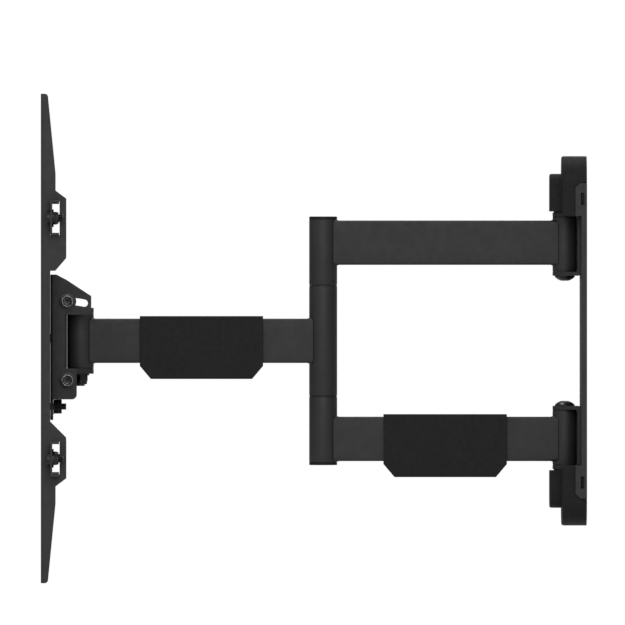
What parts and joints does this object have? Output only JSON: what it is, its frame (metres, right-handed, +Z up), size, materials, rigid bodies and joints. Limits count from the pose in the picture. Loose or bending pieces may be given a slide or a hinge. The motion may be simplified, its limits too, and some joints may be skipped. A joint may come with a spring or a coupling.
{
  "type": "full motion tv wall mount",
  "caption": "Articulated wall mount for a flat screen: wall plate, stacked rear arms, elbow column, front arm, swivel and tilt head, crossbars with sliding upright rails.",
  "frame": {"origin": "on the wall surface, at the middle of the wall plate", "axes": "+Z up, +Y into the wall, +X to the right of someone facing the wall; the arms reach out along -Y"},
  "size_m": [0.46, 0.4913, 0.4374],
  "materials": {
    "powder_coat": "satin black powder coat with a fine texture",
    "cover_plastic": "matt moulded plastic",
    "black_steel": "black zinc",
    "bright_steel": "black oxide with bright worn rims",
    "nylon": "plain moulded nylon"
  },
  "bodies": {
    "wall_base": {"wall_plate": "powder_coat", "upper_hinge_bracket": "powder_coat", "lower_hinge_bracket": "powder_coat", "upper_wall_cover": "cover_plastic", "lower_wall_cover": "cover_plastic", "wall_pivot_bolts": "black_steel", "wall_pivot_washers": "black_steel", "wall_pivot_nuts": "black_steel"},
    "rear_link": {"upper_rear_arm": "powder_coat", "lower_rear_arm": "powder_coat", "upper_wall_knuckle": "powder_coat", "lower_wall_knuckle": "powder_coat", "wall_knuckle_bushes": "nylon", "upper_elbow_tube": "powder_coat", "lower_elbow_tube": "powder_coat", "elbow_shaft": "bright_steel", "elbow_shaft_plugs": "bright_steel", "elbow_end_caps": "cover_plastic", "rear_cable_cover": "cover_plastic"},
    "front_link": {"front_arm": "powder_coat", "front_elbow_tube": "powder_coat", "elbow_bushes": "nylon", "swivel_knuckle": "powder_coat", "swivel_bushes": "nylon", "front_cable_cover": "cover_plastic"},
    "swivel_head": {"swivel_yoke": "powder_coat", "swivel_bolt": "black_steel", "swivel_washer": "black_steel", "swivel_nut": "black_steel", "tilt_bolts": "bright_steel", "tilt_washers": "black_steel", "tilt_nuts": "black_steel", "tilt_friction_washers": "nylon"},
    "tilt_head": {"tilt_bracket": "powder_coat"},
    "screen_frame": {"screen_plate": "powder_coat", "upper_crossbar": "powder_coat", "lower_crossbar": "powder_coat", "crossbar_bolts": "black_steel", "crossbar_nuts": "black_steel", "stop_screws": "black_steel", "stop_washers": "black_steel", "stop_nuts": "black_steel", "level_pivot_bolt": "black_steel", "level_pivot_washer": "black_steel", "level_pivot_nut": "black_steel", "level_lock_bolt": "black_steel", "level_lock_washer": "black_steel", "level_lock_knob": "cover_plastic"},
    "left_rail": {"left_tv_rail": "powder_coat"},
    "right_rail": {"right_tv_rail": "powder_coat"}
  },
  "joints": [
    {"name": "wall_swing", "type": "hinge", "parent": "wall_base", "child": "rear_link", "pos_m": [0, -0.0193, 0], "axis": [0, 0, 1], "range_deg": [-90, 90]},
    {"name": "elbow_fold", "type": "hinge", "parent": "rear_link", "child": "front_link", "pos_m": [0, -0.237, 0], "axis": [0, 0, -1], "range_deg": [-150, 150]},
    {"name": "head_swivel", "type": "hinge", "parent": "front_link", "child": "swivel_head", "pos_m": [0, -0.4557, 0], "axis": [0, 0, 1], "range_deg": [-80, 80]},
    {"name": "screen_tilt", "type": "hinge", "parent": "swivel_head", "child": "tilt_head", "pos_m": [0, -0.4675, -0.0356], "axis": [1, 0, 0], "range_deg": [-3, 12]},
    {"name": "screen_level", "type": "hinge", "parent": "tilt_head", "child": "screen_frame", "pos_m": [0, -0.4829, 0.0023], "axis": [0, 1, 0], "range_deg": [-3, 3]},
    {"name": "right_rail_slide", "type": "slide", "parent": "screen_frame", "child": "right_rail", "axis": [1, 0, 0], "range_m": [-0.12, 0]},
    {"name": "left_rail_slide", "type": "slide", "parent": "screen_frame", "child": "left_rail", "axis": [-1, 0, 0], "range_m": [-0.12, 0]}
  ]
}
